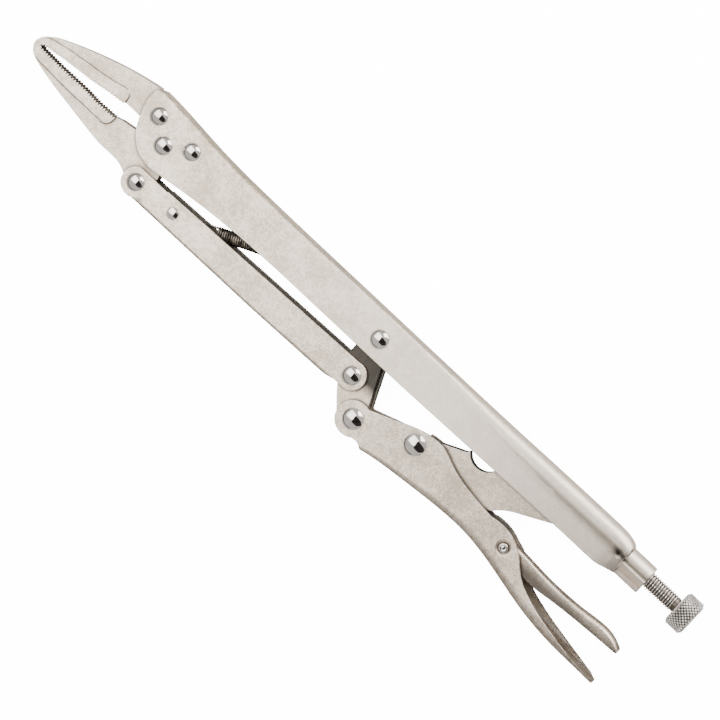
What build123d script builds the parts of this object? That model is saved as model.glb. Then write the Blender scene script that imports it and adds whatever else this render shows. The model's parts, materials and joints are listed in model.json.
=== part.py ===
from build123d import *
import math
import os

# Long-nose locking plier, lying on its side.
# +X runs along the tool from the jaws to the adjusting screw, +Y is the side of the
# main handle's back, and +Z is the axis of every rivet.
# The parts are drawn about the jaw pivot, and moved to the origin at the end.

# ---- driving dimensions, millimetres ----
SHEET = 2.2                     # pressed steel sheet
WIDTH = 13.0                    # outside width of every channel
HALF = WIDTH / 2
INNER = HALF - SHEET            # half of the space between two walls
PLATE = 2 * INNER               # forged plate that is riveted tight
LOOSE_PLATE = PLATE - 0.3       # plate that swings between two walls
BEND = 1.5                      # outer bend radius of the sheet
FIT = 0.05                      # radial clearance of a turning rivet

JAW_PIVOT = (0.0, 0.0)
JAW_FRONT = (-9.9, 8.3)         # the two fixed rivets of the upper jaw
JAW_REAR = (11.2, 6.55)
ROCKER_PIVOT = (126.6, 3.0)
JAW_LINK = (1.6, -19.9)
ROCKER_LINK = (128.2, -16.9)
LEVER_PIVOT = (141.3, -30.4)
TOGGLE_PIVOT = (168.7, -20.0)
RELEASE_PIVOT = (226.8, -26.4)
SPRING_PIN = (23.0, -18.9)
SPRING_ANCHOR = (92.6, 12.1)

PAD = 10.2                      # thickness of the jaws at their teeth
TOOTH_PITCH = 1.45
TOOTH_DEPTH = 1.0
TOOTH_CREST = 0.36              # share of the pitch that is left flat
HEAD_HEIGHT = 2.0               # how far each rivet stands out of its wall
TAIL_FLAT = 2.2                 # radius of the flat on each riveted tail

SCREW_Y = 5.8                   # height of the screw's axis over the jaw pivot
SCREW_RADIUS = 4.0              # M8 thread
PITCH = 1.25
THREAD_DEPTH = 0.68
SCREW_TIP = 247.2
THREAD_END = 296.8
NECK_END = 298.0
KNOB_RADIUS = 8.5
KNOB_LENGTH = 9.3
SPIGOT = 2.6                    # radius of the screw inside the knob

COLLAR_START = 268.0
COLLAR_END = 281.5
COLLAR_RADIUS = 6.1
ROUND_START = 110.0             # where the square back begins to turn round
ROUND_RADIUS = 6.2              # corner radius of the back where it is fully round
EDGE_Y = -5.6                   # open edge of the main handle at ROUND_START
SHOULDER = 257.0                # where the round back closes on the collar

COIL_RADIUS = 3.1
WIRE = 1.0
COIL_DROP = 2.2                 # how far the coil's axis lies under the line of its hooks


# ---- helpers ----
def prism(face, low, high):
    """A flat outline in the XY plane, carried from one height to another."""
    return extrude(Pos(0, 0, low) * face, high - low)


def plate(face, thickness):
    return prism(face, -thickness / 2, thickness / 2)


def disc(centre, radius):
    return Pos(*centre) * Circle(radius)


def bore(centre, radius, height=40):
    return Pos(*centre) * Cylinder(radius, height)


def outline(*edges):
    """A face from edges that follow each other; straight lines close the gaps."""
    lines = []
    for index, edge in enumerate(edges):
        lines.append(edge)
        end = edge @ 1
        start = edges[(index + 1) % len(edges)] @ 0
        if (end - start).length > 1e-6:
            lines.append(Line(end, start))
    return make_face(lines)


def unit(start, end):
    length = math.dist(start, end)
    return ((end[0] - start[0]) / length, (end[1] - start[1]) / length)


def section(x, top, half, radius, tuck, floor, foot):
    """One cross-section of a back-up channel: rounded back, straight walls.

    half is the half width, radius the corner radius, tuck the angle by which each
    corner arc runs on under the round back, and foot the half width at the floor.
    """
    centre_y = top - radius
    centre_z = half - radius
    low = math.radians(-tuck)
    middle = (low + math.pi / 2) / 2

    def at(angle, side):
        y = centre_y + radius * math.sin(angle)
        z = side * (centre_z + radius * math.cos(angle))
        return (x, y, z)

    right = [at(a, 1) for a in (low, middle, math.pi / 2)]
    left = [at(a, -1) for a in (math.pi / 2, middle, low)]
    base_right = (x, floor, foot)
    base_left = (x, floor, -foot)
    wire = Wire([
        Line(base_right, right[0]),
        ThreePointArc(*right),
        Line(right[2], left[0]),
        ThreePointArc(*left),
        Line(left[2], base_left),
        Line(base_left, base_right),
    ])
    return Face(wire)


def serrated(start, end, side):
    """Flat-topped teeth from start to end, with notches cut to one side of the line."""
    count = max(1, round(math.dist(start, end) / TOOTH_PITCH))
    ux, uy = unit(start, end)
    step = math.dist(start, end) / count
    root = (1 + TOOTH_CREST) / 2
    points = []
    for index in range(count):
        for share, depth in ((0, 0), (TOOTH_CREST, 0), (root, TOOTH_DEPTH * side)):
            along = (index + share) * step
            points.append((start[0] + ux * along - uy * depth,
                           start[1] + uy * along + ux * depth))
    points.append(end)
    return points


def teeth(corners, side):
    """A row of teeth along a line of several straight stretches."""
    points = []
    for start, end in zip(corners, corners[1:]):
        run = serrated(start, end, side)
        points += run if not points else run[1:]
    return Polyline(*points)


def rivet(centre, shank, head, height=HEAD_HEIGHT, grip=HALF):
    """A domed rivet along Z, with a peened tail that ends in a small flat."""
    shaft = Pos(*centre) * Cylinder(shank, 2 * grip)
    ball = (head * head + height * height) / (2 * height)
    cap = Pos(centre[0], centre[1], grip + height - ball) * Sphere(ball)
    cap &= Pos(centre[0], centre[1], grip + height / 2) * Cylinder(head + 1, height)
    tall = height + TAIL_FLAT * TAIL_FLAT / (2 * ball) + 0.05
    wide = (head * head + tall * tall) / (2 * tall)
    tail = Pos(centre[0], centre[1], -grip - tall + wide) * Sphere(wide)
    tail &= Pos(centre[0], centre[1], -grip - height / 2) * Cylinder(head + 1, height)
    return shaft + cap + tail


# ---- main handle ----
def handle_back(inset):
    """The back of the front half of the main handle, from the jaws to the round part."""
    line = [(-15.2, 17.6), (0.0, 16.6), (20.0, 14.8), (45.0, 13.9), (ROUND_START, 13.7)]
    return Spline(*[(x, y - inset) for x, y in line], tangents=[(1, -0.03), (1, 0)])


def handle_front():
    """Square-backed front half: a channel that is open towards the link."""
    block = plate(outline(handle_back(0), Line((ROUND_START, -16), (-19.5, -16)),
                          Line((-19.5, 16.0), (-18.4, 16.2))), WIDTH)
    edges = [e for e in block.edges() if e.bounding_box().min.Y > 13.5
             and abs(abs(e.center().Z) - HALF) < 0.01 and e.length > 60]
    block = fillet(edges, BEND)
    inside = outline(handle_back(SHEET),
                     Polyline((ROUND_START, -20), (-25, -20), (-25, 30), (-15.2, 30)))
    return block - plate(inside, 2 * INNER)


def eased(x, start, end):
    """0 before start, 1 after end, and a smooth S between them."""
    t = min(max((x - start) / (end - start), 0.0), 1.0)
    return t * t * (3 - 2 * t)


def lower_edge(x):
    """Height of the rear half's open edge, which rises gently and then to the collar."""
    return EDGE_Y + 1.5 * eased(x, 130.0, 250.0) + 2.1 * eased(x, 258.0, 269.0)


def rear_section(x, inset):
    """Section of the rear half: its back rises a little and turns from square to round."""
    top = 13.7 + 1.3 * eased(x, 130.0, SHOULDER)
    radius = BEND + (ROUND_RADIUS - BEND) * eased(x, 125.0, 205.0)
    tuck = 0.5 + 24.5 * eased(x, 125.0, SHOULDER)
    foot = HALF - 0.6 * eased(x, 190.0, SHOULDER)
    corner = max(radius - inset, 0.35)
    floor = lower_edge(x) - 3 * inset
    return section(x, top - inset, HALF - inset, corner, tuck, floor, foot - inset)


def shoulder_section(x):
    """Section where the round back closes down on the collar."""
    along = (x - SHOULDER) / (COLLAR_START + 0.4 - SHOULDER)
    down = 1 - math.sqrt(1 - along * along)
    top = 15.0 - 3.1 * down
    half = HALF - 0.4 * down
    return section(x, top, half, half - 0.3, 25.0, lower_edge(x), 5.9 - 1.9 * down)


def side_crease():
    """The groove pressed along both sides of the tail, ending in a dimple at the collar."""
    tail = COLLAR_START + 3
    start = 205.0
    tools = []
    for side in (1, -1):
        line = Line((start, 6.0, side * (HALF + 2.9)), (tail, 5.8, side * (HALF + 1.3)))
        section_plane = Plane(origin=line @ 0, z_dir=line % 0)
        near = section_plane * Circle(3.0)
        far = Plane(origin=line @ 1, z_dir=line % 0) * Circle(2.6)
        tools.append(loft([near, far]))
        tools.append(Pos(265.0, 5.9, side * (HALF + 1.6)) * Sphere(3.0))
    return tools


def handle_rear():
    """Rear half, whose back turns round and closes on the collar."""
    count = 14
    step = (SHOULDER - ROUND_START) / count
    rear = [ROUND_START + step * index for index in range(count + 1)]
    closing = [SHOULDER, 259.0, 261.0, 263.0, 264.6, 266.0, 267.2, 268.0, COLLAR_START + 0.4]
    outer = loft([rear_section(x, 0) for x in rear])
    outer += loft([shoulder_section(x) for x in closing], ruled=True)
    inner = loft([rear_section(x, SHEET) for x in rear])
    below = lower_edge(SHOULDER) - 3 * SHEET
    nose = section(264.0, 11.6, SCREW_RADIUS, SCREW_RADIUS - 0.3, 25.0, below, 2.0)
    body = outer - inner - loft([rear_section(SHOULDER, SHEET), nose])
    for tool in side_crease():
        body -= tool
    return body


def collar():
    """Tail of the handle, closed round the thread, with its two lips pressed together."""
    x_dir = Plane(origin=(COLLAR_START, SCREW_Y, 0), x_dir=(0, 1, 0), z_dir=(1, 0, 0))
    lobe = Circle(COLLAR_RADIUS)
    lips = Pos(-5.1, 0) * RectangleRounded(5.4, 6.4, 1.6)
    ring = extrude(x_dir * (lobe + lips), COLLAR_END - COLLAR_START)
    ring = chamfer(ring.edges().group_by(Axis.X)[-1], 0.4)
    for side in (1, -1):
        groove = Pos(COLLAR_START + 7, SCREW_Y - 0.6, side * (COLLAR_RADIUS + 0.35)) \
            * Rot(0, 90, 0) * Cylinder(1.0, 20)
        ring -= groove
    return ring


def handle_side():
    """Side view of the front half: a rounded hub at the jaws and a long lower edge."""
    front = Spline((-18.3, 16.2), (-17.1, 4.2), (-16.0, 1.6), (-13.5, -3.3), (-11.2, -6.0),
                   (-6.9, -9.3), (0.5, -11.3), (7.3, -10.7))
    lower = Spline((7.3, -10.7), (30.0, -7.8), (62.0, -5.9), (ROUND_START, EDGE_Y),
                   tangents=[(1, 0.15), (1, 0)])
    return outline(front, lower, Line((ROUND_START, 30), (-15.4, 30)),
                   Line((-15.4, 17.9), (-18.3, 16.2)))


def fixed_handle():
    front = handle_front() & plate(handle_side(), 40)
    body = front + handle_rear() + collar()
    body -= Pos(COLLAR_END - 30, SCREW_Y, 0) * Rot(0, 90, 0) * Cylinder(SCREW_RADIUS + 0.12, 80)
    for centre, radius in ((JAW_PIVOT, 3.0), (JAW_FRONT, 2.8), (JAW_REAR, 2.8),
                           (ROCKER_PIVOT, 3.0)):
        body -= bore(centre, radius)
    slot = Pos(SPRING_ANCHOR[0], SPRING_ANCHOR[1] + 1, 0) * Box(6.0, 6.0, 1.6)
    return body - slot


# ---- jaws ----
UPPER_TEETH = [(-69.0, -4.0), (-58.0, -2.5), (-42.0, -0.9), (-34.0, 0.4), (-26.2, 1.2)]
LOWER_TEETH = [(-69.0, -5.2), (-58.0, -5.6), (-42.0, -5.5), (-34.0, -6.0), (-24.2, -5.6)]
TIP = (-70.3, -4.45)


def raised(jaw_face, pad_face):
    """The thicker, toothed part of a jaw, with sloping edges."""
    step = (PAD - LOOSE_PLATE) / 2
    low = LOOSE_PLATE / 2
    upper = extrude(Pos(0, 0, low - 0.2) * pad_face, step + 0.2, taper=35)
    lower = mirror(upper, Plane.XY)
    core = prism(pad_face, -low, low)
    return (upper + lower + core) & plate(jaw_face, PAD + 2)


def fixed_jaw():
    """Upper jaw, riveted between the walls of the main handle."""
    hub = 6.4
    edge = Spline((-73.0, -4.45), (-72.1, -2.0), (-69.6, 0.6), (-65.2, 3.0), (-50.0, 9.0),
                  (-34.0, 13.9), (-18.2, 17.2))
    inner_end = (8.9, 3.4)
    face = outline(
        edge,
        Polyline((-18.2, 17.2), (-16.6, 15.8), (-14.6, 14.9)),
        Line((-14.6, 14.9), (-4.0, 14.1)),
        ThreePointArc((6.0, 12.8), (13.6, 10.0), (15.6, 3.2)),
        Line((15.6, 3.2), inner_end),
        ThreePointArc((6.2, 1.6), (0.0, hub), (-6.2, 1.6)),
        Line((-6.2, 1.6), (-19.0, 2.2)),
        Line((-19.0, 2.2), (-25.0, 2.2)),
        teeth(list(reversed(UPPER_TEETH)), -1),
        Line((-69.0, -4.0), TIP),
        Line(TIP, (-71.3, -4.45)),
    )
    pad = outline(
        Polyline((-76.0, -2.0), (-76.0, -8.0), (-23.2, -8.0), (-25.0, 4.6)),
        ThreePointArc((-25.0, 4.6), (-26.2, 6.9), (-28.6, 7.7)),
        Spline((-30.0, 7.6), (-50.0, 4.2), (-64.0, 2.0), (-76.0, -2.0)),
    )
    body = plate(face, PLATE) + raised(face, pad)
    for centre in (JAW_FRONT, JAW_REAR):
        body -= bore(centre, 2.8)
    return body


def moving_jaw():
    """Lower jaw, which swings on the jaw pivot and carries the link at its heel."""
    hub = 6.0
    below = Spline((-73.0, -4.65), (-72.5, -6.8), (-70.6, -9.2), (-64.6, -11.8), (-50.0, -14.8),
                   (-34.0, -17.3), (-20.0, -18.9), (-9.5, -19.4), (-5.2, -21.2), (-3.0, -22.6))
    heel = 5.3
    face = outline(
        below,
        ThreePointArc((-3.0, -22.6), (JAW_LINK[0], JAW_LINK[1] - heel), (6.2, -22.6)),
        Line((7.6, -20.0), (7.6, -12.5)),
        ThreePointArc((7.4, -11.8), (6.0, -6.0), (6.0, 0.0)),
        ThreePointArc((6.0, 0.0), (0.0, hub), (-6.0, 0.0)),
        Line((-7.6, -2.4), (-21.4, -4.6)),
        teeth(list(reversed(LOWER_TEETH)), 1),
        Line((-69.0, -5.2), (-70.3, -4.55)),
        Line((-70.3, -4.55), (-71.3, -4.55)),
    )
    pad = outline(
        Polyline((-76.0, 2.0), (-76.0, -9.5), (-66.0, -10.9)),
        Line((-66.0, -10.9), (-48.0, -11.6)),
        Line((-48.0, -11.6), (-28.8, -11.6)),
        ThreePointArc((-28.8, -11.6), (-25.2, -10.8), (-23.6, -7.8)),
        Line((-23.6, -7.8), (-22.6, 2.0)),
    )
    body = plate(face, LOOSE_PLATE) + raised(face, pad)
    body -= bore(JAW_PIVOT, 3.0 + FIT)
    body -= bore(JAW_LINK, 3.0)
    return body


# ---- link ----
def link_channel():
    """Long pressed link between the lower jaw and the rocker, open to the main handle."""
    eye = 6.7
    web_start = 5.2
    web_end = 118.4
    floor = -26.3
    side = disc(JAW_LINK, 6.8) + disc(ROCKER_LINK, eye)
    side += outline(
        Line((2.0, -13.6), (45.0, -12.4)),
        Line((75.0, -11.6), (127.0, -10.4)),
        Line((129.6, -23.3), (123.4, -23.5)),
        Spline((123.4, -23.5), (120.6, -24.3), (117.8, -24.9)),
        Line((75.0, -25.9), (10.0, floor)),
        Line((10.0, floor), (0.6, -26.4)),
    )
    side -= Pos(0, -10.0) * Rectangle(30, 7.2)
    body = plate(side, WIDTH)
    floors = [e for e in body.edges() if abs(abs(e.center().Z) - HALF) < 0.01
              and e.center().Y < -25 and e.length > 40]
    body = fillet(floors, BEND)
    inside = outline(
        Polyline((-12, 0), (-12, -40), (web_start, -40), (web_start, floor + SHEET),
                 (75.0, -25.9 + SHEET), (web_end, -24.9 + SHEET), (web_end, -40),
                 (150, -40), (150, 0)),
    )
    body -= plate(inside, 2 * INNER)
    body -= bore(JAW_LINK, 3.0 + FIT)
    body -= bore(ROCKER_LINK, 3.0 + FIT)
    body -= bore(SPRING_PIN, 1.5)
    return body


# ---- rocker ----
def rocker():
    """Forged bell-crank plate: hung in the main handle, it carries link and lever."""
    top = 6.4
    side = disc(ROCKER_PIVOT, top) + disc(ROCKER_LINK, 6.6) + disc(LEVER_PIVOT, 7.7)
    side += outline(
        Line((126.6 - top, 3.0), (120.3, -14.0)),
        Line((122.0, -19.5), (125.6, -24.0)),
        Spline((125.6, -24.0), (130.2, -29.6), (134.6, -34.2)),
        Line((141.3, -30.4), (149.0, -30.4)),
        Line((142.6, -22.0), (135.4, -5.6)),
        Line((135.4, -5.6), (132.6, 0.8)),
    )
    body = plate(side, LOOSE_PLATE)
    # the forging is wider on its far half
    draft = make_face(Polyline((149.0, -30.4), (150.0, -30.0), (143.8, -21.6), (136.6, -5.4),
                               (132.6, 0.8), (130.0, -10.0), close=True))
    body += prism(draft, -LOOSE_PLATE / 2, -0.6)
    body -= bore(ROCKER_PIVOT, 3.0 + FIT)
    body -= bore(ROCKER_LINK, 3.0)
    body -= bore(LEVER_PIVOT, 3.4)
    return body


# ---- lever handle ----
# stations of the trough: x, floor, half width, corner radius
LEVER_STATIONS = [
    (130.0, -39.4, 6.5, 1.6),
    (150.0, -39.2, 6.5, 1.8),
    (170.0, -35.9, 6.5, 2.6),
    (190.0, -34.1, 6.5, 3.4),
    (210.0, -33.7, 6.5, 3.9),
    (230.0, -36.9, 6.7, 4.1),
    (250.0, -41.3, 7.6, 4.8),
    (270.0, -43.6, 8.2, 5.8),
    (290.0, -44.0, 8.3, 6.2),
    (310.0, -43.0, 8.0, 6.2),
]


def trough(stations, inset, rim):
    """A loft of upright sections with rounded corners, open towards the rim."""
    up = 1 if rim > stations[0][1] else -1
    faces = []
    for x, floor, half, radius in stations:
        corner = max(radius - inset, 0.4)
        wide = half - inset
        flat = floor + up * inset
        wall = flat + up * corner
        cut = corner * (1 - math.sqrt(0.5))
        wire = Wire([
            Line((x, rim, wide), (x, wall, wide)),
            ThreePointArc((x, wall, wide), (x, flat + up * cut, wide - cut),
                          (x, flat, wide - corner)),
            Line((x, flat, wide - corner), (x, flat, corner - wide)),
            ThreePointArc((x, flat, corner - wide), (x, flat + up * cut, cut - wide),
                          (x, wall, -wide)),
            Line((x, wall, -wide), (x, rim, -wide)),
            Line((x, rim, -wide), (x, rim, wide)),
        ])
        faces.append(Face(wire))
    return loft(faces)


def lever_handle():
    """Pressed lever: two ears on the rocker, then a channel that flattens to a scoop."""
    eye = 8.2
    web_start = 151.8
    shell = trough(LEVER_STATIONS, 0, 0.0)
    hollow = trough(LEVER_STATIONS, SHEET, 5.0)
    hollow += Pos(web_start - 25, -30, 0) * Box(50, 80, 2 * INNER)
    side = disc(LEVER_PIVOT, eye)
    side += outline(
        Line((143.8, -22.6), (160.0, -16.1)),
        Spline((160.0, -16.1), (172.0, -12.3), (178.0, -12.1), (187.0, -15.3), (203.0, -18.9),
               (214.0, -19.9)),
        Spline((214.0, -19.9), (225.0, -19.8), (233.0, -23.4), (241.0, -30.4), (250.0, -34.8),
               (270.0, -39.6), (283.0, -41.8), (296.0, -42.0)),
        Line((296.0, -50.0), (149.5, -50.0)),
        Spline((152.2, -38.6), (149.4, -36.8), (145.0, -37.3), (141.3, -38.6)),
    )
    # plan view of the grip, with its rounded end
    plan = Plane.XZ * make_face([
        Line((120, -12), (281.5, -12)),
        Line((281.5, -12), (281.5, -8.4)),
        Spline((281.5, -8.4), (292.0, -5.6), (294.2, 0.0), (292.0, 5.6), (281.5, 8.4)),
        Line((281.5, 8.4), (281.5, 12)),
        Line((281.5, 12), (120, 12)),
        Line((120, 12), (120, -12)),
    ])
    # the far wall stands a little higher along the grip, and its ear a little lower
    far_rim = outline(
        Spline((230.0, -21.6), (234.0, -23.0), (242.0, -29.4), (251.0, -33.6), (270.0, -38.2),
               (283.0, -40.5), (292.0, -42.0)),
        Polyline((292.0, -46.0), (240.0, -40.0), (230.0, -30.0)),
    )
    body = (shell - hollow) & (plate(side, 40) + prism(far_rim, -20, -INNER))
    body &= extrude(plan, 60, both=True)
    above_ear = make_face(Polyline((130.0, -27.0), (137.0, -24.6), (141.3, -23.7), (160.0, -17.6),
                                   (172.0, -13.9), (178.0, -13.6), (186.0, -15.6),
                                   (186.0, 0.0), (130.0, 0.0), close=True))
    body -= prism(above_ear, -HALF - 1, -INNER)
    for end in (1, -1):
        dimple = Pos(*RELEASE_PIVOT, end * (HALF + 3.6)) * Sphere(4.9)
        body -= dimple
    body -= bore(LEVER_PIVOT, 3.4 + FIT)
    body -= bore(TOGGLE_PIVOT, 3.4)
    body -= bore(RELEASE_PIVOT, 1.6)
    return body


# ---- toggle link ----
def toggle_link():
    """Forged toggle between the lever and the tip of the adjusting screw."""
    hub = 5.3
    heel = 3.4
    tail = (240.0, 5.0)
    side = disc(TOGGLE_PIVOT, hub) + disc(tail, heel)
    side += outline(
        Line((165.6, -16.2), (171.4, -14.4)),
        Line((171.4, -14.4), (187.0, -7.4)),
        ThreePointArc((188.2, -5.8), (194.8, -9.4), (202.0, -4.4)),
        Spline((202.0, -4.2), (207.0, 0.4), (220.0, 5.0), (240.0, 5.0 + heel)),
        Line((240.0, 5.0), (243.0, 3.4)),
        Spline((243.0, 3.4), (240.5, -1.4), (236.0, -4.2), (226.0, -9.4), (216.5, -14.6),
               (212.0, -19.0)),
        Spline((212.0, -19.0), (205.0, -21.6), (190.0, -24.0), (170.0, -27.0)),
    )
    body = plate(side, 7.0) + plate(disc(TOGGLE_PIVOT, hub), LOOSE_PLATE)
    return body - bore(TOGGLE_PIVOT, 3.4 + FIT)


# ---- release lever ----
# stations of its arched back: x, roof, half width, corner radius
RELEASE_STATIONS = [
    (204.0, -22.6, 4.1, 1.2),
    (214.0, -22.5, 4.1, 1.2),
    (224.0, -22.4, 4.1, 1.4),
    (234.0, -22.5, 4.1, 1.8),
    (244.0, -23.1, 4.1, 2.1),
    (254.0, -23.5, 4.2, 2.3),
    (264.0, -23.3, 4.4, 2.4),
    (274.0, -22.4, 4.5, 2.6),
    (284.0, -21.9, 4.6, 2.6),
    (294.0, -25.6, 4.5, 2.6),
    (304.0, -33.0, 4.4, 2.6),
]


def release_lever():
    """Pressed trip lever inside the lever handle, with a tongue under the toggle."""
    sheet = 1.6
    shell = trough(RELEASE_STATIONS, 0, -45.0)
    hollow = trough(RELEASE_STATIONS, sheet, -50.0)
    hollow &= Pos(212 + 40, -40, 0) * Box(80, 60, 20)
    tip = 293.2
    side = disc(RELEASE_PIVOT, 4.2)
    side += outline(
        Line((233.0, -20.0), (tip, -20.0)),
        Line((tip, -26.9), (290.0, -27.2)),
        Spline((290.0, -27.2), (275.0, -28.0), (258.0, -29.4), (246.0, -30.6), (236.0, -30.2),
               (229.0, -30.0)),
        Line((226.0, -30.5), (222.0, -28.6)),
        Line((206.5, -27.4), (206.5, -25.6)),
        Line((222.0, -24.4), (226.8, -22.2)),
        Line((226.8, -22.2), (233.0, -22.0)),
    )
    body = (shell - hollow) & plate(side, 20)
    return body - bore(RELEASE_PIVOT, 1.6 + FIT)


# ---- adjusting screw ----
def along_screw(profile):
    """Turn a profile, drawn as (distance along X, radius), about the screw's axis."""
    points = [(x, SCREW_Y + r) for x, r in profile]
    face = make_face(Polyline(*points, close=True))
    return revolve(face, Axis((0, SCREW_Y, 0), (1, 0, 0)))


def screw_rod():
    """Threaded rod with its ridges, a chamfered tip and a plain neck in the knob."""
    root = SCREW_RADIUS - THREAD_DEPTH
    turns = int((THREAD_END - SCREW_TIP - 1.5) / PITCH)
    profile = [(SCREW_TIP, 0), (SCREW_TIP, 2.6), (SCREW_TIP + 0.8, root)]
    start = SCREW_TIP + 1.2
    for turn in range(turns):
        x = start + turn * PITCH
        profile += [(x, root), (x + 0.5 * PITCH, SCREW_RADIUS),
                    (x + 0.62 * PITCH, SCREW_RADIUS)]
    end = start + turns * PITCH
    profile += [(end, root), (NECK_END, root), (NECK_END, SPIGOT),
                (NECK_END + KNOB_LENGTH - 0.3, SPIGOT), (NECK_END + KNOB_LENGTH - 0.3, 0)]
    return along_screw(profile)


def knurled_knob():
    """Round knob with chamfered rims, turned on the neck of the rod."""
    low = SPIGOT + 0.03
    rim = 1.1
    end = NECK_END + KNOB_LENGTH
    profile = [(NECK_END + 0.05, low), (NECK_END + 0.05, KNOB_RADIUS - rim),
               (NECK_END + rim, KNOB_RADIUS), (end - rim, KNOB_RADIUS),
               (end, KNOB_RADIUS - rim), (end, low + 0.7), (end - 0.7, low)]
    return along_screw(profile)


# ---- return spring ----
def return_spring():
    """Extension spring from the pin in the link to the slot in the main handle.

    Both hooks leave the coil near its upper side, so the coil hangs under their line.
    """
    ux, uy = unit(SPRING_PIN, SPRING_ANCHOR)
    span = math.dist(SPRING_PIN, SPRING_ANCHOR)
    coil_start = 20.6
    coil_end = span - 14.0
    turns = round((coil_end - coil_start) / WIRE)
    step = (coil_end - coil_start) / turns
    low = COIL_RADIUS - WIRE / 2
    ridge = [(coil_start, COIL_RADIUS - WIRE), (coil_start, low)]
    for turn in range(turns):
        x = coil_start + turn * step
        ridge += [(x + step / 2, COIL_RADIUS), (x + step, low)]
    ridge.append((coil_end, COIL_RADIUS - WIRE))
    coil = revolve(make_face(Polyline(*ridge, close=True)), Axis.X)
    wire = WIRE / 2
    eye = 1.5 + wire + 0.15
    front = Pos((eye + coil_start + 0.3) / 2, 0, 0) * Rot(0, 90, 0) \
        * Cylinder(wire, coil_start - eye + 0.6)
    rear = Pos((coil_end + span) / 2 - 0.2, 0, 0) * Rot(0, 90, 0) * Cylinder(wire, span - coil_end)
    for x in (coil_start + 0.4, coil_end - 0.4):
        coil += Pos(x, 0, 0) * Rot(0, 90, 0) * Cylinder(COIL_RADIUS - WIRE / 2, WIRE)
    ring = Torus(eye, wire)
    coil = Pos(0, -COIL_DROP, 0) * coil
    spring = coil + front + rear + ring
    angle = math.degrees(math.atan2(uy, ux))
    return Pos(*SPRING_PIN) * Rot(0, 0, angle) * spring


# ---- assembly ----
def build():
    parts = {
        "fixed_handle": fixed_handle(),
        "fixed_jaw": fixed_jaw(),
        "moving_jaw": moving_jaw(),
        "link_channel": link_channel(),
        "rocker": rocker(),
        "lever_handle": lever_handle(),
        "toggle_link": toggle_link(),
        "release_lever": release_lever(),
        "screw_rod": screw_rod(),
        "knurled_knob": knurled_knob(),
        "return_spring": return_spring(),
        "jaw_rivet_front": rivet(JAW_FRONT, 2.8, 3.95),
        "jaw_rivet_rear": rivet(JAW_REAR, 2.8, 3.95),
        "jaw_pivot_rivet": rivet(JAW_PIVOT, 3.0, 4.1),
        "rocker_pivot_rivet": rivet(ROCKER_PIVOT, 3.0, 4.1),
        "jaw_link_rivet": rivet(JAW_LINK, 3.0, 3.95),
        "rocker_link_rivet": rivet(ROCKER_LINK, 3.0, 4.15),
        "lever_pivot_rivet": rivet(LEVER_PIVOT, 3.4, 4.6),
        "toggle_rivet": rivet(TOGGLE_PIVOT, 3.4, 4.8),
        "spring_pin": rivet(SPRING_PIN, 1.5, 2.6, height=1.0),
        "release_rivet": rivet(RELEASE_PIVOT, 1.6, 2.2, height=0.9, grip=HALF - 0.5),
    }
    boxes = [shape.bounding_box() for shape in parts.values()]
    low_x = min(box.min.X for box in boxes)
    high_x = max(box.max.X for box in boxes)
    low_y = min(box.min.Y for box in boxes)
    high_y = max(box.max.Y for box in boxes)
    low_z = min(box.min.Z for box in boxes)
    home = (-(low_x + high_x) / 2, -(low_y + high_y) / 2, -low_z)
    print("jaw pivot in the part's frame:", [round(value, 3) for value in home])
    return {name: Pos(*home) * shape for name, shape in parts.items()}


os.makedirs("parts", exist_ok=True)
for name, shape in build().items():
    export_step(shape, f"parts/{name}.step")
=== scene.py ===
import json
import math

import bmesh
import bpy
from mathutils import Matrix, Vector


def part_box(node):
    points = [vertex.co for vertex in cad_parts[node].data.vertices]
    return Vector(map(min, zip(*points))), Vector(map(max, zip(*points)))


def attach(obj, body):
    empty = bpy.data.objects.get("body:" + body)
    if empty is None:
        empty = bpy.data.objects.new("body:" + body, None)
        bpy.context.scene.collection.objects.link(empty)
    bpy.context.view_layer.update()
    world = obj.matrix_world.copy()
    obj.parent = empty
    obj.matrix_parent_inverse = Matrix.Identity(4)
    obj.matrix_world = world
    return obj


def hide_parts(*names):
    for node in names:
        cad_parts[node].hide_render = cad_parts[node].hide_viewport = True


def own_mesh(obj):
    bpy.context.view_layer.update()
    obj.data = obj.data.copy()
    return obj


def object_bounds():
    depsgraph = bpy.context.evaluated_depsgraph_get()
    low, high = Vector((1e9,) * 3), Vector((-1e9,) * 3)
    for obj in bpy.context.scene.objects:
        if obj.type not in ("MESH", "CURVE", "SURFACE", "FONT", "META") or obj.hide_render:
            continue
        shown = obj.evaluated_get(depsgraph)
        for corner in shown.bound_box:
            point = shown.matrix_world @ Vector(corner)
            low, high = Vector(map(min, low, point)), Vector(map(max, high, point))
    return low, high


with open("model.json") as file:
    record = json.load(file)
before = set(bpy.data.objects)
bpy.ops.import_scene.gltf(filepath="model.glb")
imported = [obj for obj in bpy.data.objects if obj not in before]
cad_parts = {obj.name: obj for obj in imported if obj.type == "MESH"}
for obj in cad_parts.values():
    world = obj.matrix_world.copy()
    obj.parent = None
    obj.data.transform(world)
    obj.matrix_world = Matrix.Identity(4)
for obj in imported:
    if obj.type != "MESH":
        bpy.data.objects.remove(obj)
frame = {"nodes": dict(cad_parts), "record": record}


def corners(bounds):
    """A box as plain lists of numbers."""
    return [[float(value) for value in corner] for corner in bounds]


CAD_BOX = corners(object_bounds())

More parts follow.
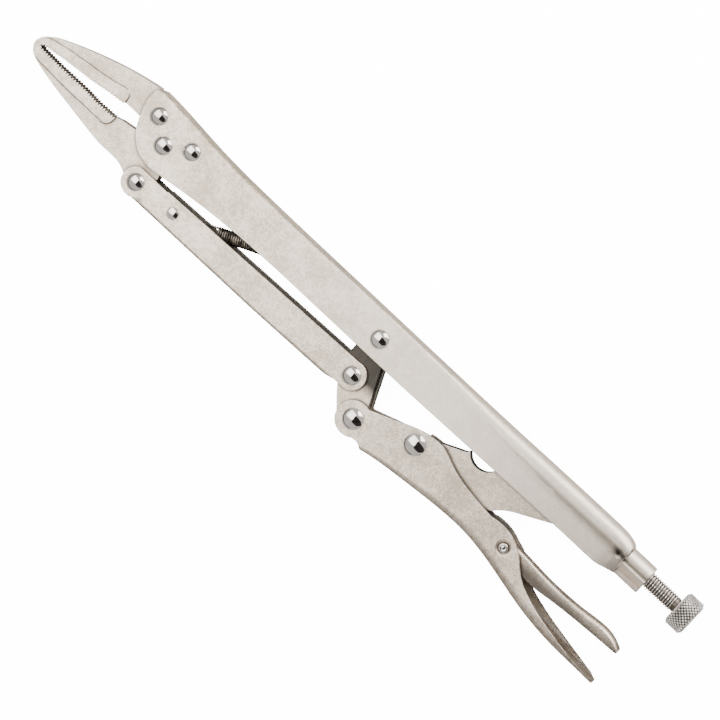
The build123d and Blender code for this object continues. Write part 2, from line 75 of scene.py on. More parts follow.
# ---- driving values, in millimetres from the jaw pivot ----
MM = 0.001
NODES = frame["nodes"]
BODY_OF = {node: body for body, nodes in frame["record"]["behaviour"]["bodies"].items()
           for node in nodes}
SCREW_Y = 5.8
THREAD_RADIUS = 4.0
THREAD_DEPTH = 0.68
PITCH = 1.25
SCREW_TIP = 247.2
TIP_RADIUS = 2.3
THREAD_END = 296.8
KNOB_START = 298.0
KNOB_END = 307.3
KNOB_RADIUS = 8.5
KNOB_NECK = 2.65                # radius of the hole that the screw fills
KNURL_LINES = 30                # grooves in each of the knurl's two directions
KNURL_DEPTH = 0.75
SPRING_PIN = (23.0, -18.9)
PIN_RADIUS = 1.5                # of the spring pin's shank
SPRING_ANCHOR = (92.6, 12.1)
SPRING_WIRE = 0.54              # radius of the wire
SPRING_COIL = 2.56              # radius of the coil, at the middle of its wire
SPRING_DROP = 2.2               # how far the coil's axis lies under the line of its hooks
SPRING_PITCH = 1.05
COIL_START = 20.9               # from the spring pin to the first turn
COIL_GAP = 13.5                 # from the last turn to the anchor
TOOL_MIDDLE = (126.4, -9.4)     # what the camera and the lights are aimed at
GROOVE_Y = 6.1                  # the groove along the main handle's tail
DIMPLE_X = 265.2                # the dimple at the end of that groove
CARD_DISTANCE = 0.9             # of the black panels, in metres

# ---- scales of the surface noise, in cycles to the metre ----
CLOUDS = 70
BLOTCHES = 420
GRAIN = 1500


def rgb(r, g, b):
    return (r, g, b, 1.0)


# ---- colours ----
PLATE_LIGHT = rgb(1.0, 0.885, 0.745)
PLATE_DARK = rgb(0.57, 0.495, 0.40)
# painted shade for the inner walls, a deep one and a lighter one
INNER_SHADE_DEEP = rgb(0.21, 0.195, 0.165)
INNER_SHADE_LIGHT = rgb(0.42, 0.38, 0.33)
# partly wear and partly a painted highlight, on rounded edges
WORN_EDGE_HIGHLIGHT = rgb(0.97, 0.94, 0.90)
# painted shade for corners, creases and joints
CREVICE_SHADE = rgb(0.07, 0.055, 0.045)
# painted shade for sheared edges
EDGE_SHADE = rgb(0.06, 0.05, 0.042)
WARM_WHITE = (1.0, 0.965, 0.93)
CARD_BLACK = (0.02, 0.02, 0.02)


def middle(node):
    """The centre of a CAD node's box."""
    low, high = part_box(node)
    return (low + high) / 2


JAW_PIVOT = middle("jaw_pivot_rivet")
MID_Z = middle("knurled_knob").z


def at(x, y, z=0.0):
    """A point given in millimetres from the jaw pivot, on the tool's mid plane."""
    return Vector((JAW_PIVOT.x + x * MM, JAW_PIVOT.y + y * MM, MID_Z + z * MM))


# ---- shader building ----
class Nodes:
    """A material's node tree, with short calls for the nodes used here."""

    def __init__(self, name):
        self.material = bpy.data.materials.new(name)
        self.material.use_nodes = True
        self.tree = self.material.node_tree
        self.shader = self.tree.nodes["Principled BSDF"]
        space = self.add("ShaderNodeTexCoord")
        self.place = space.outputs["Object"]
        self.facing = space.outputs["Normal"]

    def add(self, kind, **settings):
        node = self.tree.nodes.new(kind)
        for key, value in settings.items():
            setattr(node, key, value)
        return node

    def put(self, socket, value):
        """A link if value is an output, else a plain value."""
        if isinstance(value, bpy.types.NodeSocket):
            self.tree.links.new(value, socket)
        else:
            socket.default_value = value

    def math(self, operation, a, b=0.0, clamp=False):
        node = self.add("ShaderNodeMath", operation=operation, use_clamp=clamp)
        self.put(node.inputs[0], a)
        self.put(node.inputs[1], b)
        return node.outputs[0]

    def noise(self, scale, detail, roughness=0.5, stretch=(1, 1, 1)):
        """Cloudy noise from 0 to 1; scale is in cycles to the metre."""
        mapping = self.add("ShaderNodeMapping")
        mapping.inputs["Scale"].default_value = stretch
        self.put(mapping.inputs["Vector"], self.place)
        node = self.add("ShaderNodeTexNoise")
        self.put(node.inputs["Vector"], mapping.outputs[0])
        node.inputs["Scale"].default_value = scale
        node.inputs["Detail"].default_value = detail
        node.inputs["Roughness"].default_value = roughness
        return node.outputs["Fac"]

    def ramp(self, value, low, high, out_low=0.0, out_high=1.0):
        """A smooth step from out_low to out_high as value goes from low to high."""
        node = self.add("ShaderNodeMapRange", interpolation_type="SMOOTHSTEP")
        self.put(node.inputs["Value"], value)
        for key, number in zip(("From Min", "From Max", "To Min", "To Max"),
                               (low, high, out_low, out_high)):
            self.put(node.inputs[key], number)
        return node.outputs["Result"]

    def mix(self, factor, a, b):
        """Colour a at factor 0, and b at 1."""
        node = self.add("ShaderNodeMix", data_type="RGBA")
        colours = [socket for socket in node.inputs if socket.type == "RGBA"]
        self.put(node.inputs[0], factor)
        self.put(colours[0], a)
        self.put(colours[1], b)
        return next(socket for socket in node.outputs if socket.type == "RGBA")

    def axes(self, value):
        """The X, Y and Z of a vector."""
        node = self.add("ShaderNodeSeparateXYZ")
        self.put(node.inputs[0], value)
        return node.outputs

    def bump(self, height, distance, strength=1.0, normal=None):
        node = self.add("ShaderNodeBump")
        self.put(node.inputs["Height"], height)
        node.inputs["Distance"].default_value = distance
        node.inputs["Strength"].default_value = strength
        if normal is not None:
            self.put(node.inputs["Normal"], normal)
        return node.outputs[0]

    def edges(self, radius):
        """1 on rounded edges and 0 on flats."""
        soft = self.add("ShaderNodeBevel", samples=4)
        soft.inputs["Radius"].default_value = radius
        geometry = self.add("ShaderNodeNewGeometry")
        dot = self.add("ShaderNodeVectorMath", operation="DOT_PRODUCT")
        self.put(dot.inputs[0], soft.outputs[0])
        self.put(dot.inputs[1], geometry.outputs["Normal"])
        return self.ramp(dot.outputs["Value"], 0.999, 0.9)

    def crevice(self, reach):
        """1 deep in corners and joints, 0 in the open; reach is in metres."""
        node = self.add("ShaderNodeAmbientOcclusion", samples=6)
        node.inputs["Distance"].default_value = reach
        return self.ramp(node.outputs["AO"], 0.96, 0.45)

    def inward(self):
        """1 on the faces that look at the mid plane from either side of it."""
        geometry = self.add("ShaderNodeNewGeometry")
        height = self.axes(geometry.outputs["Position"])[2]
        side = self.math("SIGN", self.math("SUBTRACT", height, MID_Z))
        facing = self.math("MULTIPLY", self.axes(geometry.outputs["Normal"])[2], side)
        return self.ramp(facing, -0.35, -0.75)

    def cut_edge(self):
        """1 on the sheared edges of a sheet that look towards the main handle's back."""
        return self.ramp(self.axes(self.facing)[1], 0.35, 0.75)

    def finish(self, **sockets):
        """Feeds the shader: Base_Color=... goes to its Base Color socket."""
        for key, value in sockets.items():
            self.put(self.shader.inputs[key.replace("_", " ")], value)
        return self.material


def pearl_nickel(name, inner_shade, roughness=0.40, marks=None, reach=1.4):
    """Satin nickel plate over tumbled steel: a fine sparkling grain and soft clouds.

    The second argument is the painted shade colour of the inner walls, marks adds a part's own
    painted shade (on the main handle a painted highlight too), and reach is how far the painted
    shade spreads from corners and joints.
    """
    n = Nodes(name)
    cloud = n.noise(CLOUDS, 3)
    blotch = n.noise(BLOTCHES, 3, 0.6)
    fine = n.noise(GRAIN, 3, 0.75)
    tone = n.math("ADD", n.math("MULTIPLY", cloud, 0.25), n.math("MULTIPLY", blotch, 0.25))
    tone = n.math("ADD", tone, n.math("MULTIPLY", fine, 0.5))
    colour = n.mix(n.ramp(tone, 0.42, 0.59), PLATE_DARK, PLATE_LIGHT)
    # the rounded edges brighten in patches: partly wear, partly a painted highlight
    wear_and_highlight = n.math("MULTIPLY", n.edges(0.6 * MM), n.ramp(blotch, 0.35, 0.6), clamp=True)
    colour = n.mix(n.math("MULTIPLY", wear_and_highlight, 0.85), colour, WORN_EDGE_HIGHLIGHT)
    if marks:
        colour = marks(n, colour)
    # painted shade darkens corners, creases and the joints between parts
    crevice_shade = n.math("MULTIPLY", n.crevice(reach * MM), 0.9)
    colour = n.mix(crevice_shade, colour, CREVICE_SHADE)
    # painted shade on the faces that look inwards at the mid plane
    colour = n.mix(n.inward(), colour, inner_shade)
    rough = n.math("ADD", n.math("MULTIPLY", fine, 0.16), roughness - 0.08)
    rough = n.math("SUBTRACT", rough, n.math("MULTIPLY", wear_and_highlight, 0.1))
    coarse = n.bump(blotch, 0.06 * MM, 0.4)
    normal = n.bump(fine, 0.05 * MM, 0.6, coarse)
    return n.finish(Base_Color=colour, Metallic=1.0, Roughness=rough, Normal=normal)


def rocker_recess_shade(n, colour):
    """The rocker's end, darkened with painted shade and brushed streaks, which fades out between
    its two lower rivets.
    """
    across = n.ramp(n.axes(n.place)[1], at(0, -21).y, at(0, -14.5).y)
    deep_shade = rgb(0.035, 0.032, 0.028)
    brushed_shade = rgb(0.085, 0.08, 0.07)
    streak = n.noise(BLOTCHES, 3, 0.6, stretch=(1, 0.15, 1))
    shade = n.mix(streak, deep_shade, brushed_shade)
    return n.mix(across, colour, shade)


def tail_sheen_and_crease_shade(n, colour):
    """A tail brightened with a painted highlight, painted shade along its groove, and a
    near-black painted shade in its dimple.
    """
    painted_sheen = rgb(1.0, 0.91, 0.80)
    groove_shade = rgb(0.30, 0.26, 0.20)
    dimple_shade = rgb(0.015, 0.015, 0.017)
    x, y, _ = n.axes(n.place)
    # painted highlight: the tail gets brighter towards its end
    sheen_share = n.ramp(x, at(40, 0).x, at(190, 0).x, 0.0, 0.75)
    colour = n.mix(sheen_share, colour, painted_sheen)
    off = n.math("ABSOLUTE", n.math("SUBTRACT", y, at(0, GROOVE_Y).y))
    wander = n.math("MULTIPLY", n.noise(180, 3), 1.6 * MM)
    off = n.math("ADD", off, n.math("SUBTRACT", wander, 0.8 * MM))
    # painted shade along the groove
    line = n.ramp(off, 3.4 * MM, 0.3 * MM)
    line = n.math("MULTIPLY", line, n.ramp(x, at(185, 0).x, at(262, 0).x, 0.0, 0.55))
    colour = n.mix(line, colour, groove_shade)
    # near-black painted shade in the dimple
    along = n.math("ABSOLUTE", n.math("SUBTRACT", x, at(DIMPLE_X, 0).x))
    spot = n.math("MULTIPLY", n.ramp(along, 6.0 * MM, 1.0 * MM), n.ramp(off, 2.6 * MM, 0.3 * MM))
    return n.mix(n.math("MULTIPLY", spot, 0.93), colour, dimple_shade)


def sheared_edge_shade(n, colour):
    """Painted shade in a dark line on the sheared edges, except at the grip."""
    edge_shade_share = n.ramp(n.axes(n.place)[0], at(229, 0).x, at(216, 0).x, 0.0, 0.85)
    return n.mix(n.math("MULTIPLY", n.cut_edge(), edge_shade_share), colour, EDGE_SHADE)


def trip_lower_shade(n, colour):
    """Painted shade: the trip lever gets darker towards its lower edge."""
    low = n.ramp(n.axes(n.place)[1], at(0, -22.3).y, at(0, -28.2).y, 0.0, 0.94)
    return n.mix(low, colour, rgb(0.13, 0.112, 0.095))


def polished_nickel(name):
    """Bright rivet plate with faint polishing marks."""
    n = Nodes(name)
    fine = n.noise(GRAIN, 3, 0.6)
    smear = n.noise(260, 2)
    hazy = rgb(0.77, 0.735, 0.70)
    clean = rgb(0.86, 0.83, 0.80)
    # painted shade round the base of each dome
    rim_shade = rgb(0.12, 0.09, 0.07)
    colour = n.mix(n.ramp(smear, 0.3, 0.7), hazy, clean)
    crevice_shade = n.math("MULTIPLY", n.crevice(0.7 * MM), 0.9)
    colour = n.mix(crevice_shade, colour, rim_shade)
    rough = n.ramp(smear, 0.3, 0.75, 0.05, 0.13)
    return n.finish(Base_Color=colour, Metallic=1.0, Roughness=rough,
                    Normal=n.bump(fine, 0.01 * MM, 0.12))


def turned_nickel(name):
    """Turned and rolled screw steel: bright crests and end faces, with painted shade in the
    grooves.
    """
    n = Nodes(name)
    place = n.axes(n.place)
    knob_middle = at((KNOB_START + KNOB_END) / 2, 0).x
    y = n.math("SUBTRACT", place[1], at(0, SCREW_Y).y)
    z = n.math("SUBTRACT", place[2], MID_Z)
    radius = n.math("SQRT", n.math("ADD", n.math("MULTIPLY", y, y), n.math("MULTIPLY", z, z)))
    knob = n.math("GREATER_THAN", radius, (THREAD_RADIUS + 0.3) * MM)
    crest = n.ramp(radius, (THREAD_RADIUS - THREAD_DEPTH) * MM, (THREAD_RADIUS - 0.12) * MM)
    ridge = n.ramp(radius, (KNOB_RADIUS - 0.66) * MM, (KNOB_RADIUS - 0.32) * MM)
    from_middle = n.math("ABSOLUTE", n.math("SUBTRACT", place[0], knob_middle))
    end_face = n.ramp(from_middle, 3.3 * MM, 4.2 * MM)
    ridge = n.math("MAXIMUM", ridge, end_face)
    high = n.math("MAXIMUM", n.math("MULTIPLY", knob, ridge),
                  n.math("MULTIPLY", n.math("SUBTRACT", 1.0, knob), crest))
    fine = n.noise(1900, 3, 0.6)
    # painted shade at the roots of the thread and the knurl
    thread_root_shade = rgb(0.14, 0.12, 0.10)
    knurl_root_shade = rgb(0.03, 0.026, 0.022)
    bare_steel = rgb(1.0, 0.97, 0.94)
    crevice_shade = n.mix(knob, thread_root_shade, knurl_root_shade)
    colour = n.mix(high, crevice_shade, bare_steel)
    rough = n.math("ADD", n.math("MULTIPLY", fine, 0.16), n.ramp(high, 0, 1, 0.28, 0.14))
    rough = n.math("ADD", rough, n.math("MULTIPLY", knob, 0.06))
    return n.finish(Base_Color=colour, Metallic=1.0, Roughness=rough,
                    Normal=n.bump(fine, 0.02 * MM, 0.3))


def black_wire(name):
    """Oiled black spring wire with worn crowns."""
    n = Nodes(name)
    fine = n.noise(1700, 3, 0.6)
    spots = n.noise(500, 2)
    oiled = rgb(0.06, 0.056, 0.05)
    rubbed = rgb(0.34, 0.31, 0.27)
    colour = n.mix(n.ramp(spots, 0.35, 0.65), oiled, rubbed)
    rough = n.ramp(fine, 0.3, 0.7, 0.3, 0.5)
    return n.finish(Base_Color=colour, Metallic=0.85, Roughness=rough,
                    Normal=n.bump(fine, 0.02 * MM, 0.3))


# ---- pieces ----
def new_piece(name, mesh, node):
    """A finished mesh that stands for a CAD node and moves with its body."""
    piece = bpy.data.objects.new(name, mesh)
    bpy.context.scene.collection.objects.link(piece)
    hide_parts(node)
    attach(piece, BODY_OF[node])
    return piece


def grid_mesh(name, rows):
    """A closed skin over rings of points; the first and last rings are capped."""
    count = len(rows[0])
    verts = [point for row in rows for point in row]
    faces = []
    for r in range(len(rows) - 1):
        for c in range(count):
            d = (c + 1) % count
            faces.append((r * count + c, r * count + d, (r + 1) * count + d,
                          (r + 1) * count + c))
    faces.append(tuple(reversed(range(count))))
    last = (len(rows) - 1) * count
    faces.append(tuple(range(last, last + count)))
    mesh = bpy.data.meshes.new(name)
    mesh.from_pydata(verts, [], faces)
    bm = bmesh.new()
    bm.from_mesh(mesh)
    bmesh.ops.recalc_face_normals(bm, faces=bm.faces)
    bm.to_mesh(mesh)
    bm.free()
    return mesh


def smooth(mesh, angle):
    """Smooth shading that stays crisp at edges sharper than an angle in degrees."""
    mesh.shade_smooth()
    mesh.set_sharp_from_angle(angle=math.radians(angle))


def softened(node, width):
    """The pressed or forged shape of a CAD node with its sharp edges rounded over."""
    sharpest = math.radians(38)
    same_point = 0.02 * MM
    sliver_area = 2e-9
    short_edge = 0.05 * MM
    source = NODES[node].data
    bm = bmesh.new()
    verts = [bm.verts.new(v.co) for v in source.vertices]
    for polygon in source.polygons:
        try:
            bm.faces.new([verts[i] for i in polygon.vertices])
        except ValueError:          # a face that the mesh already has
            continue
    bmesh.ops.remove_doubles(bm, verts=bm.verts, dist=same_point)
    bmesh.ops.dissolve_degenerate(bm, edges=bm.edges, dist=same_point)
    bmesh.ops.dissolve_limit(bm, angle_limit=math.radians(0.4), verts=bm.verts, edges=bm.edges)
    bm.normal_update()
    sharp = [e for e in bm.edges if e.is_manifold
             and e.calc_face_angle(0) > sharpest
             and min(face.calc_area() for face in e.link_faces) > sliver_area
             and e.calc_length() > short_edge]
    bmesh.ops.bevel(bm, geom=sharp, offset=width * MM, offset_type="OFFSET", segments=3,
                    profile=0.5, affect="EDGES", clamp_overlap=False)
    low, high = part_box(node)
    for vert in bm.verts:
        vert.co = [min(max(value, start), end) for value, start, end in zip(vert.co, low, high)]
    mesh = bpy.data.meshes.new(node + "_shape")
    bm.to_mesh(mesh)
    bm.free()
    smooth(mesh, 40)
    piece = new_piece(node + "_shape", mesh, node)
    weighted = piece.modifiers.new("weighted", "WEIGHTED_NORMAL")
    weighted.keep_sharp = True
    weighted.weight = 60
    return piece


def lathe(profile, centre, segments=96):
    """Rows of points for a profile of (radius, height) about an upright axis."""
    rows = []
    for radius, height in profile:
        row = []
        for step in range(segments):
            turn = 2 * math.pi * step / segments
            row.append((centre.x + radius * MM * math.cos(turn),
                        centre.y + radius * MM * math.sin(turn),
                        centre.z + height * MM))
        rows.append(row)
    return rows


def dome(radius, height, base):
    """A cap from its crown down to a tucked-in rim: (radius, height) pairs."""
    steps = 14
    ball = (radius * radius + height * height) / (2 * height)
    reach = math.asin(radius / ball)
    points = []
    for step in range(steps + 1):
        angle = reach * (0.02 + 0.98 * step / steps)
        points.append((ball * math.sin(angle), base + height - ball * (1 - math.cos(angle))))
    points += [(radius + 0.03, base - 0.12), (radius - 0.02, base - 0.22)]
    return points


def rivet(node, head, height=2.0, flat=2.3):
    """A polished dome on the near side and a peened button on the far side.

    head is the radius of both, and flat the radius of the flat on the peened one.
    """
    grip = 6.5                      # half of the width that it holds together
    lift = 0.28                     # of the dome's rim over the sheet
    sunk = 0.05                     # how deep the shank's ends sit in the sheet
    rim = 0.2                       # straight part of the peened rim
    steps = 9
    shank = head - 0.35
    near = dome(head, height - lift, grip + lift)
    near.append((shank, grip - sunk))
    ball = (head * head + height * height) / (2 * height)
    far = [(shank, -grip + sunk), (head - 0.02, -grip - sunk), (head, -grip - rim)]
    for step in range(1, steps):
        wide = head + (flat - head) * step / steps
        drop = math.sqrt(ball * ball - wide * wide) - (ball - height)
        far.append((wide, -grip - max(rim, drop)))
    end = -grip - height
    far += [(flat - 0.15, end + 0.02), (flat * 0.55, end), (flat * 0.45, end + 0.2),
            (0.15, end + 0.28)]
    centre = middle(node)
    centre.z = MID_Z
    mesh = grid_mesh(node + "_domed", lathe(near + far, centre))
    smooth(mesh, 35)
    return new_piece(node + "_domed", mesh, node)


def small_pin(node, radius, height, grip):
    """A low domed pin with a rolled ring round a small crown."""
    profile = [(0.05, grip + height * 0.8), (radius * 0.3, grip + height * 0.85),
               (radius * 0.42, grip + height * 0.7), (radius * 0.6, grip + height * 0.98),
               (radius * 0.8, grip + height * 0.85), (radius * 0.95, grip + height * 0.45),
               (radius, grip + 0.1), (radius - 0.1, grip - 0.1)]
    profile += [(r, -h) for r, h in reversed(profile)]
    centre = middle(node)
    centre.z = MID_Z
    mesh = grid_mesh(node + "_rolled", lathe(profile, centre, 64))
    piece = new_piece(node + "_rolled", mesh, node)
    smooth(mesh, 50)
    return piece


def around_screw(x, radius_at, segments):
    """A ring of points about the screw's axis; radius_at takes the turn from 0 to 1."""
    row = []
    for step in range(segments):
        turn = step / segments
        radius = radius_at(turn)
        angle = 2 * math.pi * turn
        row.append(at(x, SCREW_Y + radius * math.cos(angle), radius * math.sin(angle)))
    return row


def thread_height(turns):
    """Height share of a rolled thread: flat root, sloping flanks, narrow crest."""
    root = 0.2
    crest = 0.16
    flank = 0.32
    place = turns % 1.0
    if place < root:
        return 0.0
    if place < root + flank:
        return (place - root) / flank
    if place < root + flank + crest:
        return 1.0
    return (1.0 - place) / flank


def screw():
    """A single-start helix that runs in and out smoothly, and a plain neck in the knob."""
    root = THREAD_RADIUS - THREAD_DEPTH
    neck = KNOB_NECK - 0.05
    run_out = 1.2                   # length over which the thread fades in and out
    chamfer = 0.4
    per_pitch = 12
    segments = 72
    rows = [around_screw(SCREW_TIP, lambda turn: TIP_RADIUS, segments)]
    count = int((THREAD_END - SCREW_TIP - 0.6) / PITCH * per_pitch)
    for step in range(count + 1):
        x = SCREW_TIP + chamfer + step * PITCH / per_pitch
        fade = min(1.0, (x - SCREW_TIP) / run_out, (THREAD_END + 0.3 - x) / run_out)

        def radius_at(turn, x=x, fade=fade):
            return root + THREAD_DEPTH * fade * thread_height((x - SCREW_TIP) / PITCH - turn)

        rows.append(around_screw(x, radius_at, segments))
    rows.append(around_screw(KNOB_START, lambda turn: root, segments))
    rows.append(around_screw(KNOB_START + 0.05, lambda turn: neck, segments))
    rows.append(around_screw(KNOB_END - 0.3, lambda turn: neck, segments))
    mesh = grid_mesh("screw_thread", rows)
    smooth(mesh, 32)
    return new_piece("screw_thread", mesh, "screw_rod")


def knurl(x, turn):
    """Height share of a diamond knurl: two crossing sets of V grooves, with cut-off tips."""
    steepness = 1.35
    lead = (x - KNOB_START) / (2 * math.pi * KNOB_RADIUS) * KNURL_LINES
    first = abs(((turn * KNURL_LINES + lead) % 1.0) - 0.5) * 2
    second = abs(((turn * KNURL_LINES - lead) % 1.0) - 0.5) * 2
    return min(1.0, steepness * min(first, second))


def knob():
    """A knurled drum with rounded rims and a shallow ring turned in its end face."""
    segments = KNURL_LINES * 14
    rim = 1.1                       # how wide each rim is, where the knurl fades out
    start = KNOB_START + 0.05
    profile = [(start, KNOB_NECK), (start, 5.6), (start + 0.12, 6.6), (start + 0.1, 7.1)]
    rows = [around_screw(x, lambda turn, r=r: r, segments) for x, r in profile]
    steps = 72
    for step in range(steps + 1):
        x = start + 0.12 + (KNOB_END - start - 0.24) * step / steps
        inset = max(0.0, start + rim - x, x - (KNOB_END - rim))

        def radius_at(turn, x=x, inset=inset):
            share = knurl(x, turn) * max(0.0, 1 - inset / rim * 0.9)
            return KNOB_RADIUS - KNURL_DEPTH - inset * 0.85 + KNURL_DEPTH * share

        rows.append(around_screw(x, radius_at, segments))
    tail = [(KNOB_END - 0.1, 7.1), (KNOB_END - 0.03, 6.9), (KNOB_END, 6.0),
            (KNOB_END - 0.18, 5.8), (KNOB_END - 0.18, 4.4), (KNOB_END, 4.2),
            (KNOB_END, 3.4), (KNOB_END - 0.7, KNOB_NECK)]
    rows += [around_screw(x, lambda turn, r=r: r, segments) for x, r in tail]
    rows.append(around_screw(start + 0.3, lambda turn: KNOB_NECK, segments))
    mesh = grid_mesh("knob_knurled", rows)
    smooth(mesh, 30)
    return new_piece("knob_knurled", mesh, "knurled_knob")


def tube(path, radius, sides=10):
    """Rings of points that follow a path of Vectors."""
    rows = []
    normal = Vector((0, 0, 1))
    for index, point in enumerate(path):
        before = path[max(index - 1, 0)]
        after = path[min(index + 1, len(path) - 1)]
        ahead = (after - before).normalized()
        normal = (normal - ahead * normal.dot(ahead)).normalized()
        across = ahead.cross(normal)
        rows.append([point + (normal * math.cos(2 * math.pi * side / sides)
                              + across * math.sin(2 * math.pi * side / sides)) * radius
                     for side in range(sides)])
    return rows


def spring():
    """Close-wound extension spring with a long drawn-out hook at each end."""
    start = Vector((*SPRING_PIN, 0))
    along = Vector((*SPRING_ANCHOR, 0)) - start
    span = along.length
    along.normalize()
    across = Vector((-along.y, along.x, 0))
    up = Vector((0, 0, 1))
    last = span - COIL_GAP
    eye = PIN_RADIUS + SPRING_WIRE + 0.12
    eye_turn = 330                  # degrees
    eye_steps = 28
    hook_steps = 7
    per_turn = 20
    points = []
    for step in range(eye_steps + 1):
        turn = math.radians(eye_turn * (1 - step / eye_steps))
        points.append((eye * math.cos(turn), eye * math.sin(turn), 0.0))
    for step in range(1, hook_steps + 1):
        points.append((eye + (COIL_START - 0.8 - eye) * step / hook_steps, 0.0, 0.0))
    turns = round((last - COIL_START) / SPRING_PITCH)
    steps = turns * per_turn
    for step in range(steps + 1):
        share = step / steps
        x = COIL_START + (last - COIL_START) * share
        angle = 2 * math.pi * share * turns
        points.append((x, SPRING_COIL * math.cos(angle) - SPRING_DROP,
                       SPRING_COIL * math.sin(angle)))
    for step in range(1, hook_steps + 1):
        points.append((last + 0.8 + (span - last - 1.2) * step / hook_steps, 0.0, 0.0))
    path = []
    for x, y, z in points:
        local = start + along * x + across * y + up * z
        path.append(at(local.x, local.y, local.z))
    mesh = grid_mesh("spring_coil", tube(path, SPRING_WIRE * MM))
    mesh.shade_smooth()
    return new_piece("spring_coil", mesh, "return_spring")


# ---- camera ----
def make_camera():
    """Looks down on the tool, a little from its tail and back, with the tool lying across."""
    near_wall = 6.5
    aim = at(*TOOL_MIDDLE, near_wall)
    slope = Vector((0.088, 0.160, 1.0)).normalized()
    distance = 1.793
    roll = math.radians(-42.51)
    up = Vector((math.sin(roll), math.cos(roll), 0))
    side = up.cross(slope).normalized()
    upright = slope.cross(side)
    place = Matrix((side, upright, slope)).transposed().to_4x4()
    place.translation = aim + slope * distance
    lens = bpy.data.cameras.new("camera")
    lens.lens = 207.6
    lens.sensor_width = 36.0
    lens.clip_start = 0.05
    lens.clip_end = 20.0
    camera = bpy.data.objects.new("camera", lens)
    camera.matrix_world = place
    bpy.context.scene.collection.objects.link(camera)
    bpy.context.scene.camera = camera


# ---- floor and light ----
def plain_material(name, colour, roughness, glow=0.0):
    """An even material for the stage, which may glow white."""
    material = bpy.data.materials.new(name)
    material.use_nodes = True
    shader = material.node_tree.nodes["Principled BSDF"]
    shader.inputs["Base Color"].default_value = (*colour, 1)
    shader.inputs["Roughness"].default_value = roughness
    shader.inputs["Emission Color"].default_value = (1, 1, 1, 1)
    shader.inputs["Emission Strength"].default_value = glow
    return material


def stage_face(name, points, material):
    """A flat panel that belongs to the stage and not to the tool."""
    mesh = bpy.data.meshes.new(name)
    mesh.from_pydata(points, [], [tuple(range(len(points)))])
    face = bpy.data.objects.new(name, mesh)
    mesh.materials.append(material)
    bpy.context.scene.collection.objects.link(face)
    return face


def make_floor():
    """A pale floor that the camera sees bright, over two greys that the tool reflects.

    The brighter grey lies past the main handle, and the dimmer one under the lever.
    """
    gap = 0.2 * MM
    low = CAD_BOX[0][2] - gap
    under = low - gap
    corner = 3.0
    split = at(0, -12).y

    def band(near, far, height):
        return [(-corner, near, height), (corner, near, height), (corner, far, height),
                (-corner, far, height)]

    white = plain_material("floor_white", (0.9, 0.9, 0.9), 0.7, 14)
    seen = stage_face("floor", band(-corner, corner, low), white)
    seen.visible_diffuse = False
    seen.visible_glossy = False
    seen.visible_shadow = False
    for name, near, far, colour in (("floor_bright", split, corner, (0.46, 0.44, 0.41)),
                                    ("floor_dim", -corner, split, (0.17, 0.16, 0.15))):
        soft = stage_face(name, band(near, far, under), plain_material(name, colour, 0.8))
        soft.visible_camera = False


def towards(direction, distance):
    """The point that lies so far from the tool's middle, in metres."""
    return at(*TOOL_MIDDLE) + Vector(direction).normalized() * distance


def area_light(name, direction, distance, size, radiance):
    """A softbox of even brightness, aimed at the middle of the tool."""
    data = bpy.data.lights.new(name, "AREA")
    data.shape = "RECTANGLE"
    data.size, data.size_y = size
    data.color = WARM_WHITE
    data.energy = radiance * math.pi * size[0] * size[1]
    light = bpy.data.objects.new(name, data)
    back = Vector(direction).normalized()
    upright = (Vector((0, 1, 0)) - back * back.y).normalized()
    turn = Matrix((upright.cross(back), upright, back)).transposed().to_4x4()
    turn.translation = towards(direction, distance)
    light.matrix_world = turn
    light.visible_camera = False
    bpy.context.scene.collection.objects.link(light)


def hide_card(card):
    """A black panel only shows where the metal mirrors it."""
    card.visible_camera = False
    card.visible_diffuse = False
    card.visible_shadow = False


def dark_card(name, directions):
    """A black panel beside the lights, which the polished parts mirror."""
    points = [towards(direction, CARD_DISTANCE) for direction in directions]
    hide_card(stage_face(name, points, plain_material(name, CARD_BLACK, 0.9)))


def dark_band(name, start, end, low, high):
    """A low strip of black panels round the tool; all four values are in degrees."""
    black = plain_material(name, CARD_BLACK, 0.9)
    steps = 12
    for step in range(steps):
        turns = [math.radians(start + (end - start) * (step + more) / steps) for more in (0, 1)]
        points = []
        for turn, rise in ((turns[0], low), (turns[1], low), (turns[1], high), (turns[0], high)):
            flat = math.cos(math.radians(rise))
            direction = (flat * math.cos(turn), flat * math.sin(turn),
                         math.sin(math.radians(rise)))
            points.append(towards(direction, CARD_DISTANCE))
        hide_card(stage_face(f"{name}_{step}", points, black))


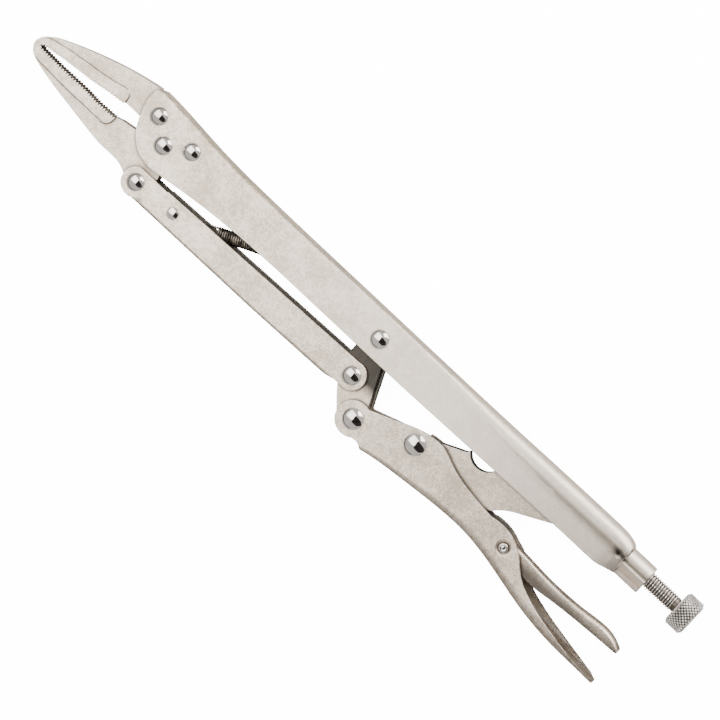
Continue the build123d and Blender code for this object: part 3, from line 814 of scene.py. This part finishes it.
def make_light():
    """Soft daylight, two softboxes, and the black panels that shape the reflections."""
    world = bpy.data.worlds.new("studio")
    world.use_nodes = True
    sky = world.node_tree.nodes["Background"]
    sky.inputs["Color"].default_value = (*WARM_WHITE, 1)
    sky.inputs["Strength"].default_value = 0.72
    bpy.context.scene.world = world
    area_light("overhead", (-0.46, 0.16, 0.88), distance=1.3, size=(1.45, 1.25), radiance=3.5)
    area_light("side", (0.35, 0.92, 0.26), distance=1.2, size=(1.4, 0.7), radiance=5.5)
    dark_card("flag_tail", [(-0.03, 0.46, 0.89), (0.07, -0.43, 0.90), (0.75, -0.45, 0.48),
                            (0.956, -0.12, 0.22), (0.88, 0.18, 0.40)])
    dark_band("flag_low", start=95, end=290, low=7, high=15)


# ---- assembly ----
def paint(piece, material):
    """Gives a piece its one material."""
    piece.data.materials.clear()
    piece.data.materials.append(material)


def main():
    """Makes every piece, and then the camera, the floor and the light."""
    handle = pearl_nickel("handle_nickel", INNER_SHADE_DEEP, marks=tail_sheen_and_crease_shade, reach=0.9)
    link = pearl_nickel("link_nickel", INNER_SHADE_DEEP, 0.38)
    lever = pearl_nickel("lever_nickel", INNER_SHADE_LIGHT, 0.38, marks=sheared_edge_shade)
    trip = pearl_nickel("trip_nickel", INNER_SHADE_LIGHT, 0.38, marks=trip_lower_shade)
    forged = pearl_nickel("forged_nickel", INNER_SHADE_LIGHT, 0.42, reach=2.2)
    toggle = pearl_nickel("toggle_nickel", INNER_SHADE_LIGHT, 0.42, marks=sheared_edge_shade, reach=2.2)
    # the rocker's nickel, with painted shade on its end
    recess_shaded = pearl_nickel("recess_shaded_nickel", INNER_SHADE_DEEP, marks=rocker_recess_shade)
    bright = polished_nickel("bright_nickel")
    turned = turned_nickel("screw_nickel")
    black = black_wire("dark_spring")

    paint(softened("fixed_handle", width=0.35), handle)
    paint(softened("link_channel", width=0.3), link)
    paint(softened("lever_handle", width=0.3), lever)
    paint(softened("release_lever", width=0.25), trip)
    paint(softened("fixed_jaw", width=0.07), forged)
    paint(softened("moving_jaw", width=0.07), forged)
    paint(softened("toggle_link", width=0.3), toggle)
    paint(softened("rocker", width=0.25), recess_shaded)

    heads = {"jaw_rivet_front": 3.95, "jaw_rivet_rear": 3.95, "jaw_pivot_rivet": 4.1,
             "rocker_pivot_rivet": 4.1, "jaw_link_rivet": 3.95, "rocker_link_rivet": 4.15,
             "lever_pivot_rivet": 4.6, "toggle_rivet": 4.8}
    for node, head in heads.items():
        paint(rivet(node, head), bright)
    paint(rivet("spring_pin", 2.6, height=1.0, flat=1.2), bright)
    paint(small_pin("release_rivet", 2.2, height=0.9, grip=6.0), bright)

    paint(screw(), turned)
    paint(knob(), turned)
    coil = spring()
    paint(coil, black)
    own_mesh(coil)
    make_camera()
    make_floor()
    make_light()


main()
